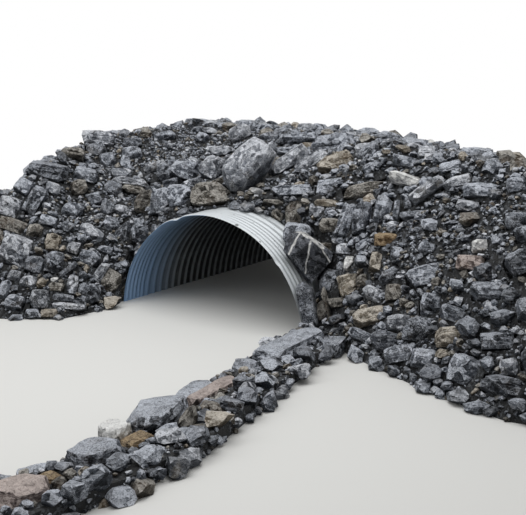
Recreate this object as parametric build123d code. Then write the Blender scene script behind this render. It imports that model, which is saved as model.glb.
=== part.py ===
from build123d import *
import math
import os
import random

# Culvert headwall: a corrugated steel pipe in a bank of dumped and stacked stone, in millimetres.
# The origin is on the pipe's mouth plane, above its axis, at the water line. +Y runs into the bank
# along the pipe, +X to the right as the mouth is looked at, and z = 0 is the level that it stands on.

os.makedirs("parts", exist_ok=True)

# Pipe
pipe_bore = 2700.0          # inside diameter, between the corrugations' inner crests
pipe_wall = 3.5             # sheet thickness
axis_drop = 130.0           # the axis lies this far under the water line
fine_pitch = 68.0           # corrugations of the re-rolled ends
fine_depth = 13.0
fine_count = 5
blend_pitch = 96.0          # the one corrugation between the fine and the wide ones
blend_depth = 20.0
wide_pitch = 125.0          # corrugations of the barrel
wide_depth = 26.0
wide_count = 27

# Stone bank
crown_cover = 770.0         # height of the bank's crest over the pipe's outside
crest_width = 700.0
crest_fall = 40.0           # the crest falls this much towards its back
back_batter = 500.0         # how far the plain back leans
seat_gap = 0.3              # room between the steel and the stone
joint_gap = 14.0            # open joint between neighbouring stones
mouth_setback = 60.0        # the stone keeps clear of the mouth's plane by this much
face_tilt = 22.0            # stacked stones lean back no further than this, in degrees
stone_jut = 45.0            # a stone's foot stands this far out of the bank's skin

# Row of toe stones along the right side of the channel
toe_bed_width = 560.0
toe_bed_height = 130.0

outer_radius = pipe_bore / 2 + wide_depth + pipe_wall
bore_radius = outer_radius + seat_gap
crown_height = outer_radius - axis_drop
crest_height = crown_height + crown_cover
wing_top = crest_height - 150.0
side_reach = math.sqrt(bore_radius ** 2 - axis_drop ** 2)
haunch_reach = 0.55 * side_reach
upright = Vector(0, 0, 1)


def section(foot, heading, facing, knee, crest, width=crest_width, batter=back_batter):
    """One upright section of the bank: its foot in plan, the heading of its back in degrees, the way
    that its stones face, and its knee and the front of its crest as run and height."""
    turn = math.radians(heading)
    outline = [(0.0, 0.0), knee, crest]
    outline.append((crest[0] + width, crest[1] - crest_fall))
    outline.append((crest[0] + width + batter, 0.0))
    points = [Vector(foot[0] + r * math.cos(turn), foot[1] + r * math.sin(turn), z) for r, z in outline]
    return points, facing


# The sections run from the left end, round the left wing, over the pipe and out to the right end
sections = {
    "left_end": section((-3750, -1300), 104, -76, (300, 400), (700, 700), 400, 300),
    "left_nose": section((-3000, -1650), 112, -68, (500, 650), (1100, 1150), 550, 300),
    "left_bend": section((-2000, -1450), 128, -55, (550, 700), (1200, 1320), 600, 350),
    "left_turn": section((-side_reach, -1050), 142, -45, (700, 800), (1650, 1600), 650, 400),
    "left_wing": section((130 - side_reach, -300), 138, -40, (750, 950), (2200, wing_top)),
    "left_side": section((-50 - side_reach, 120), 112, -55, (550, 1050), (2600, crest_height)),
    "left_haunch": section((-haunch_reach, 250), 100, -75, (120, crown_height + 30), (2500, crest_height)),
    "crown": section((0, 450), 90, -74, (100, crown_height + 130), (2050, crest_height)),
    "right_haunch": section((haunch_reach, 620), 80, -67, (100, crown_height + 150), (1350, crest_height)),
    "right_side": section((50 + side_reach, 100), 72, -65, (450, 1100), (1250, crest_height)),
    "right_wing": section((2300, -350), 66, -65, (550, 1050), (1350, crest_height - 40)),
    "right_turn": section((3300, -800), 62, -65, (600, 1000), (1400, crest_height - 120)),
    "right_nose": section((4100, -1050), 60, -70, (600, 900), (1300, 1550), 600, 450),
    "right_end": section((4650, -950), 56, -80, (400, 500), (800, 850), 400, 300),
}
outlines = [points for points, facing in sections.values()]
facings = [facing for points, facing in sections.values()]

bay_names = [
    "fill_left_end",
    "fill_left_nose",
    "fill_left_bend",
    "fill_left_wing",
    "fill_left_abutment",
    "fill_left_haunch",
    "fill_crown_left",
    "fill_crown_right",
    "fill_right_haunch",
    "fill_right_abutment",
    "fill_right_wing",
    "fill_right_nose",
    "fill_right_end",
]

# The water's edge beside the toe row, from the pipe's right side towards the near end
toe_line = [
    Vector(1330, 60),
    Vector(1440, -830),
    Vector(1590, -1540),
    Vector(1730, -2230),
    Vector(1930, -3100),
    Vector(1940, -3830),
    Vector(1830, -4540),
    Vector(1760, -5030),
]


def polyhedron(near, far):
    """A bay of the bank between two sections, with flat triangular faces."""
    faces = [Face(Wire.make_polygon(near, close=True)), Face(Wire.make_polygon(far, close=True))]
    count = len(near)
    for i in range(count):
        j = (i + 1) % count
        faces.append(Face(Wire.make_polygon([near[i], near[j], far[j]], close=True)))
        faces.append(Face(Wire.make_polygon([near[i], far[j], far[i]], close=True)))
    return Solid(Shell(faces))


def surface_point(station, rise):
    """A point of the bank's skin. A whole station is a section. The rise is 0 at the foot, 1 at the
    front of the crest, 2 at its back and 3 at the back foot."""
    i = min(int(station), len(outlines) - 2)
    share = station - i
    line = [a * (1 - share) + b * share for a, b in zip(outlines[i], outlines[i + 1])]
    if rise > 2:
        return line[3] + (line[4] - line[3]) * (rise - 2)
    if rise > 1:
        return line[2] + (line[3] - line[2]) * (rise - 1)
    lower = (line[1] - line[0]).length
    upper = (line[2] - line[1]).length
    run = rise * (lower + upper)
    if run < lower:
        return line[0] + (line[1] - line[0]) * (run / lower)
    return line[1] + (line[2] - line[1]) * ((run - lower) / upper)


def skin_frame(station, rise):
    """Unit vectors along the bank, up its slope and out of its skin."""
    step = 0.04
    low_station = max(station - step, 0)
    high_station = min(station + step, len(outlines) - 1)
    along = surface_point(high_station, rise) - surface_point(low_station, rise)
    up = surface_point(station, min(rise + step, 3)) - surface_point(station, max(rise - step, 0))
    out = along.cross(up).normalized()
    along = along.normalized()
    return along, out.cross(along), out


def stacked_frame(station, rise):
    """The same for a stone stacked on the front: its face is upright or leans back a little."""
    i = min(int(station), len(facings) - 2)
    turn = math.radians(facings[i] + (facings[i + 1] - facings[i]) * (station - i))
    tilt = min(math.asin(skin_frame(station, rise)[2].Z), math.radians(face_tilt))
    out = Vector(math.cos(turn) * math.cos(tilt), math.sin(turn) * math.cos(tilt), math.sin(tilt))
    along = upright.cross(out).normalized()
    return along, out.cross(along), out


class Stone:
    """A quarry block: its centre, three axes and half sizes, and the planes that dress it."""

    def __init__(self, node, centre, axes, size, rounding):
        self.node = node
        self.centre = centre
        self.axes = axes
        self.half = [s / 2 for s in size]
        self.span = math.sqrt(sum(h * h for h in self.half))
        self.rounding = rounding
        self.cuts = []

    def reach(self, direction):
        return sum(h * abs(a.dot(direction)) for h, a in zip(self.half, self.axes))


stones = []


def set_stone(node, centre, frame, size, turn, rounding):
    """Keeps a stone whose long side is turned in its face by so many degrees."""
    along, up, out = frame
    spin = math.radians(turn)
    first = along * math.cos(spin) + up * math.sin(spin)
    second = up * math.cos(spin) - along * math.sin(spin)
    stone = Stone(node, centre, [first, second, out], size, rounding)
    stones.append(stone)
    return stone


def stack(node, station, rise, length, height, depth, turn=0, rounding=0.5):
    """A stone on the front of the bank, by where its foot stands: length along the bank, height, and
    depth into it. A tenth of its height is bedded."""
    along, up, out = stacked_frame(station, rise)
    spin = math.radians(turn)
    stature = abs(length * math.sin(spin)) + abs(height * math.cos(spin))
    centre = surface_point(station, rise) + up * (0.4 * stature) - out * (depth / 2 - stone_jut)
    return set_stone(node, centre, (along, up, out), (length, height, depth), turn, rounding)


def bed(node, station, rise, length, height, depth, turn=0, rounding=0.5):
    """A stone bedded in the back, two thirds proud of the skin."""
    frame = skin_frame(station, rise)
    centre = surface_point(station, rise) + frame[2] * (depth * 0.12)
    return set_stone(node, centre, frame, (length, height, depth), turn, rounding)


def pave(node, station, rise, length, height, depth, turn=0, rounding=0.5):
    """A stone sunk into the crest's top, with a fifth of it proud of the skin."""
    frame = skin_frame(station, rise)
    centre = surface_point(station, rise) - frame[2] * (depth * 0.3)
    return set_stone(node, centre, frame, (length, height, depth), turn, rounding)


def stand(node, beyond, into, height_up, length, height, depth, turn=0, rounding=0.5):
    """A stone that stands against the pipe's right side: its centre lies this far beyond the side of
    the steel at the water line, into the bank from the mouth, and above the ground."""
    turned = math.radians(facings[list(sections).index("right_side")])
    out = Vector(math.cos(turned), math.sin(turned), 0)
    frame = (upright.cross(out), upright, out)
    centre = Vector(side_reach + beyond, into, height_up)
    return set_stone(node, centre, frame, (length, height, depth), turn, rounding)


def overlap(one, other):
    """The axis along which two stones overlap least, and by how much."""
    apart = other.centre - one.centre
    best = None
    for axis in one.axes + other.axes + [apart.normalized()]:
        depth = one.reach(axis) + other.reach(axis) - abs(apart.dot(axis))
        if best is None or depth < best[0]:
            best = (depth, axis if apart.dot(axis) > 0 else axis * -1)
    return best


def neighbours(stone, pile):
    return [s for s in pile if (s.centre - stone.centre).length < s.span + stone.span + joint_gap]


def scatter(node, stations, rises, spacing, size, seed, lay=stack, crowding=0.3):
    """Courses of stones of varied size between two stations, where no placed stone has the room."""
    chance = random.Random(seed)
    low, high = rises
    middle = (stations[0] + stations[1]) / 2
    climb = (surface_point(middle, high) - surface_point(middle, low)).length
    courses = max(1, round(climb / (spacing * 0.8)))
    for course in range(courses):
        rise = low + (high - low) * (course + 0.5) / courses
        run = (surface_point(stations[1], rise) - surface_point(stations[0], rise)).length
        count = max(1, round(run / spacing))
        for k in range(count):
            share = (k + 0.5 + 0.35 * (course % 2 - 0.5) + chance.uniform(-0.16, 0.16)) / count
            station = stations[0] + (stations[1] - stations[0]) * min(max(share, 0.04), 0.96)
            level = rise + (high - low) / courses * chance.uniform(-0.14, 0.14)
            length = size * chance.uniform(0.8, 1.5)
            height = size * chance.uniform(0.45, 0.9)
            depth = size * chance.uniform(0.8, 1.1)
            stone = lay(node, station, level, length, height, depth, chance.uniform(-24, 24))
            close = neighbours(stone, stones[:-1])
            if any(overlap(stone, s)[0] > 2 * crowding * min(stone.half[:2] + s.half[:2]) for s in close):
                stones.pop()


# Stones over the mouth, from the left haunch to the crown
stack("left_jamb_stones", 5.1, 0.22, 420, 310, 380, -4, 0.4)
stack("left_jamb_stones", 4.55, 0.24, 360, 210, 300, 38, 0.4)
stack("left_jamb_stones", 5.2, 0.33, 330, 280, 360, -8, 0.4)
stack("left_jamb_stones", 5.65, 0.30, 310, 370, 360, -6, 0.3)
stack("crown_face_stones", 6.0, 0.33, 330, 310, 360, 4, 0.5)
stack("crown_face_stones", 5.6, 0.54, 420, 250, 340, -8, 0.4)
stack("crown_face_stones", 5.2, 0.54, 250, 200, 300, 50, 0.3)
stack("crown_face_stones", 6.15, 0.52, 320, 290, 340, 76, 0.6)
stack("crown_face_stones", 6.08, 0.44, 200, 150, 260, 0, 0.8)
stack("crown_face_stones", 5.9, 0.72, 300, 130, 260, 8, 0.4)
stack("crown_face_stones", 6.2, 0.66, 290, 110, 260, 4, 0.4)
stack("crown_face_stones", 6.35, 0.73, 240, 140, 240, 28, 0.4)
stack("lintel_block", 6.55, 0.35, 500, 290, 420, 6, 0.2)
stack("crown_boulder", 7.02, 0.4, 860, 330, 400, 55, 0.6)
stack("crown_slab", 7.4, 0.6, 560, 220, 340, 38, 0.5)
stack("crown_side_stones", 7.68, 0.68, 440, 150, 300, 30, 0.5)
stack("crown_side_stones", 7.62, 0.43, 290, 140, 300, 2, 0.8)
stack("crown_side_stones", 7.9, 0.5, 490, 150, 320, 4, 0.3)
stack("crown_side_stones", 8.0, 0.39, 290, 310, 320, 4, 0.8)
stack("crown_side_stones", 7.7, 0.36, 210, 130, 260, 84, 0.7)
stand("crown_side_stones", -400, 420, 1040, 300, 220, 320, -8, 0.5)

# Stones beside the mouth
stand("veined_boulder", -190, 340, 830, 600, 500, 460, -33, 0.5)
stand("right_jamb_slab", -20, 160, 330, 600, 230, 300, -78, 0.3)
stand("right_jamb_stones", 180, 200, 330, 480, 140, 260, -72, 0.3)
stack("right_jamb_stones", 9.0, 0.22, 230, 260, 280, 4, 0.5)
stack("right_jamb_stones", 9.35, 0.24, 270, 260, 300, 4, 1.0)
stack("right_jamb_stones", 9.2, 0.34, 180, 110, 220, 74, 0.5)
stack("right_jamb_stones", 9.25, 0.17, 270, 110, 260, 4, 0.4)
stack("right_jamb_stones", 9.02, 0.08, 190, 230, 280, 8, 0.5)
stack("right_jamb_stones", 9.62, 0.38, 210, 120, 220, 82, 0.4)
stack("right_jamb_stones", 9.1, 0.3, 170, 100, 200, 82, 0.5)
stack("right_shoulder_stones", 8.35, 0.34, 350, 210, 300, -28, 0.5)
stack("right_shoulder_stones", 8.4, 0.5, 170, 110, 240, 2, 0.5)
stack("right_shoulder_stones", 8.68, 0.46, 210, 150, 240, 2, 0.5)
stack("right_shoulder_stones", 8.5, 0.54, 300, 120, 280, -3, 0.2)
stack("right_shoulder_stones", 8.75, 0.37, 240, 120, 240, 2, 0.5)
stack("right_shoulder_stones", 9.05, 0.4, 220, 130, 240, -6, 0.4)
stack("right_shoulder_stones", 9.32, 0.44, 190, 100, 220, 30, 0.4)

# Right wing
stack("upright_stones", 8.98, 0.48, 440, 220, 300, 76, 0.3)
stack("upright_stones", 9.18, 0.52, 380, 190, 300, 88, 0.4)
stack("upright_stones", 9.38, 0.6, 310, 170, 280, 78, 0.6)
stack("upright_stones", 9.58, 0.63, 230, 110, 240, 86, 0.4)
stack("rough_stones", 8.42, 0.62, 500, 190, 340, 9, 0.2)
stack("rough_stones", 8.92, 0.68, 520, 190, 320, 15, 0.8)
stack("rough_stones", 8.12, 0.72, 430, 200, 320, 24, 0.5)
stack("rough_stones", 8.55, 0.77, 170, 170, 240, 0, 0.3)
stack("rough_stones", 8.55, 0.86, 300, 170, 260, 42, 0.2)
stack("rough_stones", 8.8, 0.79, 240, 150, 240, 36, 0.3)
stack("white_slab", 9.45, 0.79, 450, 130, 260, -16, 0.5)
stack("pointed_slab", 9.86, 0.72, 500, 200, 300, 36, 0.6)
stack("right_wing_stones", 9.75, 0.65, 340, 150, 260, 6, 0.4)
stack("right_wing_stones", 9.6, 0.7, 130, 120, 180, 0, 0.5)
stack("right_wing_stones", 9.62, 0.5, 230, 140, 220, -3, 0.9)
stack("right_wing_stones", 9.85, 0.46, 150, 130, 180, 0, 0.5)
stack("right_wing_stones", 10.7, 0.6, 140, 120, 180, 0, 0.4)
stack("right_wing_stones", 10.9, 0.74, 200, 160, 220, 4, 0.5)
stack("right_edge_stones", 10.35, 0.39, 420, 210, 300, 13, 0.4)
stack("right_edge_stones", 10.75, 0.51, 270, 140, 240, -6, 0.6)
stack("right_edge_stones", 10.05, 0.27, 190, 220, 240, 3, 0.9)
stack("right_edge_stones", 9.8, 0.25, 250, 130, 240, -22, 0.6)
stack("right_edge_stones", 9.9, 0.35, 240, 110, 220, 32, 0.4)
stack("right_edge_stones", 9.95, 0.16, 460, 190, 300, 13, 0.4)

# Left wing
stack("pale_block", 2.25, 0.37, 380, 400, 360, -12, 0.3)
stack("left_wing_stones", 2.12, 0.62, 330, 230, 300, -20, 0.5)
stack("left_wing_stones", 1.98, 0.77, 290, 280, 300, -14, 0.5)
stack("left_wing_stones", 2.65, 0.7, 450, 210, 280, 60, 0.3)
stack("left_wing_stones", 3.1, 0.77, 170, 150, 220, -20, 0.5)
stack("left_wing_stones", 3.0, 0.4, 170, 250, 240, -16, 0.3)
stack("left_wing_stones", 3.7, 0.35, 330, 150, 260, -36, 0.3)
stack("left_wing_stones", 3.2, 0.22, 320, 120, 240, 36, 0.3)
stack("left_wing_stones", 3.37, 0.32, 200, 160, 240, -16, 0.5)
stack("left_wing_stones", 3.62, 0.23, 290, 220, 280, -16, 0.3)
stack("left_wing_stones", 2.65, 0.29, 270, 230, 280, -8, 0.4)
stack("left_wing_stones", 2.97, 0.27, 220, 300, 300, -12, 0.4)
stack("left_wing_stones", 2.95, 0.56, 200, 150, 240, -20, 0.5)
stack("left_wing_stones", 2.65, 0.53, 170, 170, 240, -16, 0.5)
stack("left_wing_stones", 3.3, 0.46, 170, 130, 220, -20, 0.5)
stack("left_wing_stones", 2.25, 0.25, 170, 150, 220, -8, 0.5)
stack("left_wing_stones", 2.5, 0.21, 200, 130, 220, -8, 0.6)
stack("left_upper_stones", 3.05, 0.89, 500, 220, 320, -16, 0.6)
stack("left_upper_stones", 2.35, 0.9, 220, 200, 260, -30, 0.6)
stack("left_upper_stones", 4.0, 0.94, 500, 210, 320, -10, 0.5)
stack("left_upper_stones", 3.5, 0.95, 300, 150, 280, -14, 0.4)
stack("left_upper_stones", 3.7, 0.73, 320, 200, 260, -14, 0.3)
stack("left_upper_stones", 4.3, 0.66, 240, 150, 240, -12, 0.4)
stack("left_upper_stones", 4.5, 0.58, 540, 130, 320, -8, 0.2)
stack("left_upper_stones", 4.62, 0.5, 310, 120, 260, -12, 0.8)
stack("left_toe_stones", 3.8, 0.13, 320, 140, 240, 50, 0.3)
stack("left_toe_stones", 4.0, 0.07, 320, 220, 280, 56, 0.7)
stack("left_toe_stones", 3.0, 0.15, 200, 130, 240, -10, 0.8)
stack("left_toe_stones", 3.3, 0.13, 170, 210, 240, -12, 0.3)
stack("left_toe_stones", 2.7, 0.07, 270, 260, 300, 0, 0.4)
stack("left_toe_stones", 3.1, 0.09, 250, 100, 220, -12, 0.4)
stack("left_toe_stones", 3.2, 0.03, 430, 100, 260, -8, 0.3)
stack("left_toe_stones", 3.55, 0.05, 280, 250, 300, -10, 0.4)
stack("left_toe_stones", 2.3, 0.05, 250, 190, 260, -14, 0.5)
stack("left_toe_stones", 2.1, 0.15, 280, 110, 220, 76, 0.4)
stack("left_toe_stones", 2.55, 0.01, 180, 120, 220, 8, 0.6)
stack("left_toe_stones", 2.85, 0.02, 180, 110, 220, 0, 0.6)

# Slabs along the crest
stack("crest_slabs", 6.85, 0.86, 560, 150, 360, 5, 0.3)
stack("crest_slabs", 7.6, 0.86, 520, 200, 360, 9, 0.3)
stack("crest_slabs", 6.9, 0.77, 480, 90, 280, 3, 0.3)
stack("crest_slabs", 8.3, 0.89, 210, 160, 260, 3, 0.5)
stack("crest_slabs", 8.75, 0.91, 230, 130, 260, 3, 0.5)
stack("crest_slabs", 9.25, 0.89, 330, 130, 280, -13, 0.3)
stack("crest_slabs", 9.4, 0.97, 230, 110, 240, 3, 0.4)
stack("crest_slabs", 9.85, 0.91, 230, 120, 240, 12, 0.4)
stack("crest_slabs", 10.05, 0.85, 370, 120, 280, 10, 0.3)
stack("crest_slabs", 10.38, 0.84, 410, 140, 280, -3, 0.4)
stack("crest_slabs", 10.65, 0.9, 200, 140, 240, 2, 0.4)

# Stones of no note fill the faces between them
scatter("left_toe_stones", (1.6, 3.9), (0.0, 0.2), 280, 230, 11)
scatter("left_wing_stones", (1.6, 4.3), (0.2, 0.6), 280, 210, 12)
scatter("left_upper_stones", (1.7, 4.6), (0.62, 0.94), 330, 220, 13)
scatter("left_end_stones", (0.1, 1.6), (0.02, 0.92), 380, 310, 14)
scatter("left_jamb_stones", (4.1, 4.9), (0.04, 0.5), 250, 190, 15)
scatter("crown_face_stones", (4.7, 6.4), (0.36, 0.66), 320, 210, 16)
scatter("crest_slabs", (4.6, 9.6), (0.78, 0.96), 520, 210, 17)
scatter("rough_stones", (7.9, 9.7), (0.46, 0.86), 270, 190, 18)
scatter("right_wing_stones", (9.6, 11.0), (0.44, 0.84), 480, 180, 19)
scatter("crest_slabs", (10.6, 12.0), (0.84, 0.96), 400, 250, 20)
scatter("right_edge_stones", (9.2, 11.0), (0.02, 0.36), 330, 250, 21)
scatter("right_end_stones", (11.0, 12.9), (0.02, 0.82), 390, 310, 22)
scatter("crest_back_stones", (1.5, 11.8), (1.2, 1.8), 620, 330, 23, pave)
scatter("back_left_stones", (0.6, 6.4), (2.05, 2.95), 620, 430, 24, bed)
scatter("back_right_stones", (8.6, 12.4), (2.05, 2.95), 620, 430, 25, bed)


def toe_stone(node, distance, length, width, height, turn=0, inset=0.5):
    """A stone of the toe row, by its distance along the water's edge from the pipe and by how far it
    stands in from that edge, as a share of the bed's width."""
    for a, b in zip(toe_line, toe_line[1:]):
        span = (b - a).length
        if distance <= span or b is toe_line[-1]:
            break
        distance -= span
    ahead = (b - a).normalized()
    side = upright.cross(ahead)
    centre = a + ahead * distance + side * (inset * toe_bed_width) + upright * (height / 2)
    return set_stone(node, centre, (ahead, side, upright), (length, width, height), turn, 0.5)


# Toe stones: distance along the row, length, width, height, turn and inset
for row in [
    ("toe_near_stones", 420, 380, 220, 160, 10, 0.96),
    ("toe_long_slab", 800, 1300, 300, 210, -4, 0.40),
    ("toe_near_stones", 1580, 250, 240, 190, 8, 0.17),
    ("toe_near_stones", 1840, 300, 200, 120, -12, 0.62),
    ("toe_near_stones", 2310, 600, 240, 130, 3, -0.13),
    ("toe_near_stones", 2310, 900, 220, 160, -5, 0.20),
    ("toe_outer_stones", 3110, 680, 360, 250, -4, -0.02),
    ("toe_outer_stones", 3520, 260, 240, 210, 12, -0.12),
    ("toe_outer_stones", 3540, 290, 250, 170, 10, 0.19),
    ("toe_outer_stones", 3920, 460, 300, 220, -6, 0.17),
    ("toe_outer_stones", 4330, 430, 240, 120, -8, -0.01),
    ("toe_outer_stones", 4380, 210, 190, 150, 14, 0.29),
    ("toe_outer_stones", 4610, 210, 240, 140, 6, -0.12),
    ("toe_outer_stones", 4650, 400, 330, 230, -10, 0.48),
]:
    toe_stone(*row)


def separate(pile):
    """Neighbours that would meet each lose a flake along one plane, with an open joint between."""
    for i, one in enumerate(pile):
        for other in neighbours(one, pile[i + 1:]):
            depth, axis = overlap(one, other)
            if depth > -joint_gap:
                middle = one.centre.dot(axis) + one.reach(axis) - depth / 2
                one.cuts.append((axis, middle - joint_gap / 2))
                other.cuts.append((axis * -1, -middle - joint_gap / 2))


def cleave(solid, normal, distance):
    """Keeps what lies below the plane at that distance from the origin along its normal."""
    return split(solid, bisect_by=Plane(origin=normal * distance, z_dir=normal), keep=Keep.BOTTOM)


def dress(stone, seed):
    """The stone as a solid: a block, its corners and edges split off, then its neighbours' planes."""
    chance = random.Random(seed)
    frame = Plane(origin=stone.centre, x_dir=stone.axes[0], z_dir=stone.axes[2])
    solid = frame * Box(*[2 * h for h in stone.half])
    for corner in range(7):
        signs = [1 if corner & bit else -1 for bit in (1, 2, 4)]
        weights = [chance.uniform(0.25, 1.0) for _ in range(3)]
        weights[corner % 3] *= 0.25 + stone.rounding
        normal = Vector(0, 0, 0)
        for axis, sign, weight, half in zip(stone.axes, signs, weights, stone.half):
            normal += axis * (sign * weight / half)
        normal = normal.normalized()
        share = 0.9 - 0.26 * stone.rounding * chance.uniform(0.4, 1.0)
        solid = cleave(solid, normal, stone.centre.dot(normal) + share * stone.reach(normal))
    for normal, distance in stone.cuts:
        solid = cleave(solid, normal, distance)
    return split(solid, bisect_by=Plane.XY, keep=Keep.TOP)


def arc(centre, radius, start, end):
    """An arc in the profile's plane, by its angles in degrees."""
    points = []
    for angle in (start, (start + end) / 2, end):
        turn = math.radians(angle)
        points.append((centre[0] + radius * math.cos(turn), centre[1] + radius * math.sin(turn)))
    return ThreePointArc(*points)


def corrugation_side(pitches, offset):
    """One side of the corrugated sheet, along the pipe: from each inner crest up to an outer one."""
    edges = []
    inner_crest = pipe_bore / 2 + pipe_wall / 2
    y = 0.0
    for pitch, depth in pitches:
        bend = ((pitch / 4) ** 2 + (depth / 2) ** 2) / depth
        swing = math.degrees(math.asin(pitch / 4 / bend))
        hollow = bend - offset
        ridge = bend + offset
        edges.append(arc((inner_crest + bend, y), hollow, 180, 180 - swing))
        edges.append(arc((inner_crest + depth - bend, y + pitch / 2), ridge, -swing, swing))
        edges.append(arc((inner_crest + bend, y + pitch), hollow, 180 + swing, 180))
        y += pitch
    return edges


def culvert_pipe(pitches):
    """The sheet's section, turned half round the axis and cut off at the water line."""
    outside = corrugation_side(pitches, pipe_wall / 2)
    inside = corrugation_side(pitches, -pipe_wall / 2)
    rim = Line(outside[0] @ 0, inside[0] @ 0)
    tail = Line(outside[-1] @ 1, inside[-1] @ 1)
    sheet = Plane(origin=(0, 0, -axis_drop)) * make_face(outside + inside + [rim, tail])
    axis = Axis((0, 0, -axis_drop), (0, -1, 0))
    return split(revolve(sheet, axis, 180), bisect_by=Plane.XY, keep=Keep.TOP)


def toe_bed():
    """The low bed of chips under the toe row, along the water's edge."""
    bank_side = []
    for i, point in enumerate(toe_line):
        ahead = (toe_line[min(i + 1, len(toe_line) - 1)] - toe_line[max(i - 1, 0)]).normalized()
        bank_side.append(point + upright.cross(ahead) * toe_bed_width)
    outline = Wire.make_polygon(toe_line + bank_side[::-1], close=True)
    return extrude(Face(outline), toe_bed_height, dir=(0, 0, 1))


fine_end = [(fine_pitch, fine_depth)] * fine_count
blend = [(blend_pitch, blend_depth)]
barrel = fine_end + blend + [(wide_pitch, wide_depth)] * wide_count + blend + fine_end
pipe_length = sum(pitch for pitch, depth in barrel)
bore = Cylinder(bore_radius, pipe_length + mouth_setback, rotation=(-90, 0, 0))
bore = Pos(0, pipe_length / 2 - mouth_setback / 2, -axis_drop) * bore

separate(stones)
nodes = {}
for number, stone in enumerate(stones):
    solid = dress(stone, number)
    from_axis = math.hypot(stone.centre.X, stone.centre.Z + axis_drop)
    if from_axis < bore_radius + stone.span and stone.centre.Y > -stone.span:
        solid = solid - bore
    nodes.setdefault(stone.node, []).append(solid)

every_stone = [solid for group in nodes.values() for solid in group]


def bed_in(fill):
    """Presses the stones that reach into a mass of fill into it, so that each has its own socket.
    A crumb of fill that the sockets cut off from the rest falls away."""
    box = fill.bounding_box()
    reaching = [s for s in every_stone if s.bounding_box().overlaps(box)]
    if not reaching:
        return fill
    return max((fill - reaching).solids(), key=lambda s: s.volume)


beside_pipe = ["left_wing", "left_side", "left_haunch", "crown", "right_haunch", "right_side"]
names = list(sections)
for bay, near, far in zip(bay_names, names, names[1:]):
    fill = polyhedron(sections[near][0], sections[far][0])
    if near in beside_pipe:
        fill = fill - bore
    nodes[bay] = [bed_in(fill)]

row_bed = toe_bed() - bore
for near, far in [("right_haunch", "right_side"), ("right_side", "right_wing")]:
    row_bed = row_bed - polyhedron(sections[near][0], sections[far][0])
nodes["toe_bed"] = [bed_in(row_bed)]
nodes["culvert_pipe"] = [culvert_pipe(barrel)]

for node, solids in nodes.items():
    export_step(Compound(children=solids) if len(solids) > 1 else solids[0], "parts/" + node + ".step")
print(len(stones), "stones in", len(nodes), "nodes")
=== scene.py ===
# Looks of the culvert headwall, in metres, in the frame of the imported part.
import math

import bpy
import numpy as np
from mathutils.bvhtree import BVHTree
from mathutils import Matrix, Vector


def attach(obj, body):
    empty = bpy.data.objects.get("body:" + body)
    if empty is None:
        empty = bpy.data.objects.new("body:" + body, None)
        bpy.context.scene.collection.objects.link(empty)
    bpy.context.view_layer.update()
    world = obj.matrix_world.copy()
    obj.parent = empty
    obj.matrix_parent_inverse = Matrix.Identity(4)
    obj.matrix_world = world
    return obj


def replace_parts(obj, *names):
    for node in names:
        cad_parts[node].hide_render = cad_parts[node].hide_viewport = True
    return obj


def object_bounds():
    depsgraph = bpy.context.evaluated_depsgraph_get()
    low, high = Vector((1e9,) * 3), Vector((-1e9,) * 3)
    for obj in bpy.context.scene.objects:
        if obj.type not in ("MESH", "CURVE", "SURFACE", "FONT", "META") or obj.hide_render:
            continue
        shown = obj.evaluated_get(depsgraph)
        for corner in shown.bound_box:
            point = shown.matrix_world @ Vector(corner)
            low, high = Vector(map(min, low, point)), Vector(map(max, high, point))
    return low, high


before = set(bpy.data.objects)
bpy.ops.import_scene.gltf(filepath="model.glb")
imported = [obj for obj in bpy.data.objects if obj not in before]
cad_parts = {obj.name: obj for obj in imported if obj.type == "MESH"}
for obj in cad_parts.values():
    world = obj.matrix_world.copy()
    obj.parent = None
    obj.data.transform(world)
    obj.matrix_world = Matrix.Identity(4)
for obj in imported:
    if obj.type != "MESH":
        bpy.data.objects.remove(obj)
cadBox = [list(corner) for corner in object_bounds()]
print("frame loaded,", len(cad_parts), "nodes")


# Camera, fitted to the pipe's rim, the crests and the water line

cameraLook = {"place": (7.03, -8.6, 3.07), "tilt": 78.1, "turn": 35.9, "lens": 67.07, "sensor": 36}

cameraData = bpy.data.cameras.new("camera")
cameraData.lens = cameraLook["lens"]
cameraData.sensor_width = cameraLook["sensor"]
camera = bpy.data.objects.new("camera", cameraData)
camera.location = cameraLook["place"]
camera.rotation_euler = (math.radians(cameraLook["tilt"]), 0, math.radians(cameraLook["turn"]))
bpy.context.scene.collection.objects.link(camera)
bpy.context.scene.camera = camera
bpy.context.scene.view_settings.view_transform = "Standard"


# Helpers for materials

def linear(hexColour):
    # an sRGB hex colour as the linear one that the shaders take
    parts = [int(hexColour[i:i + 2], 16) / 255 for i in (1, 3, 5)]
    return tuple(c / 12.92 if c <= 0.04045 else ((c + 0.055) / 1.055) ** 2.4 for c in parts) + (1.0,)


def addNode(tree, kind, settings=None, links=None):
    # a node with its own settings, its sockets' values (by name or number) and what is linked in
    node = tree.nodes.new("ShaderNode" + kind)
    for key, value in (settings or {}).items():
        if isinstance(key, int) or key in node.inputs:
            node.inputs[key].default_value = value
        else:
            setattr(node, key, value)
    for key, source in (links or {}).items():
        tree.links.new(source, node.inputs[key])
    return node


def newMaterial(name):
    material = bpy.data.materials.new(name)
    material.use_nodes = True
    tree = material.node_tree
    return material, tree, tree.nodes["Principled BSDF"]


def mixColours(tree, share, first, second):
    # second over first by share; each may be a colour or a socket
    node = addNode(tree, "Mix", {"data_type": "RGBA"})
    for index, value in ((0, share), (6, first), (7, second)):
        if isinstance(value, (int, float, tuple)):
            node.inputs[index].default_value = value
        else:
            tree.links.new(value, node.inputs[index])
    return node.outputs[2]


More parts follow.
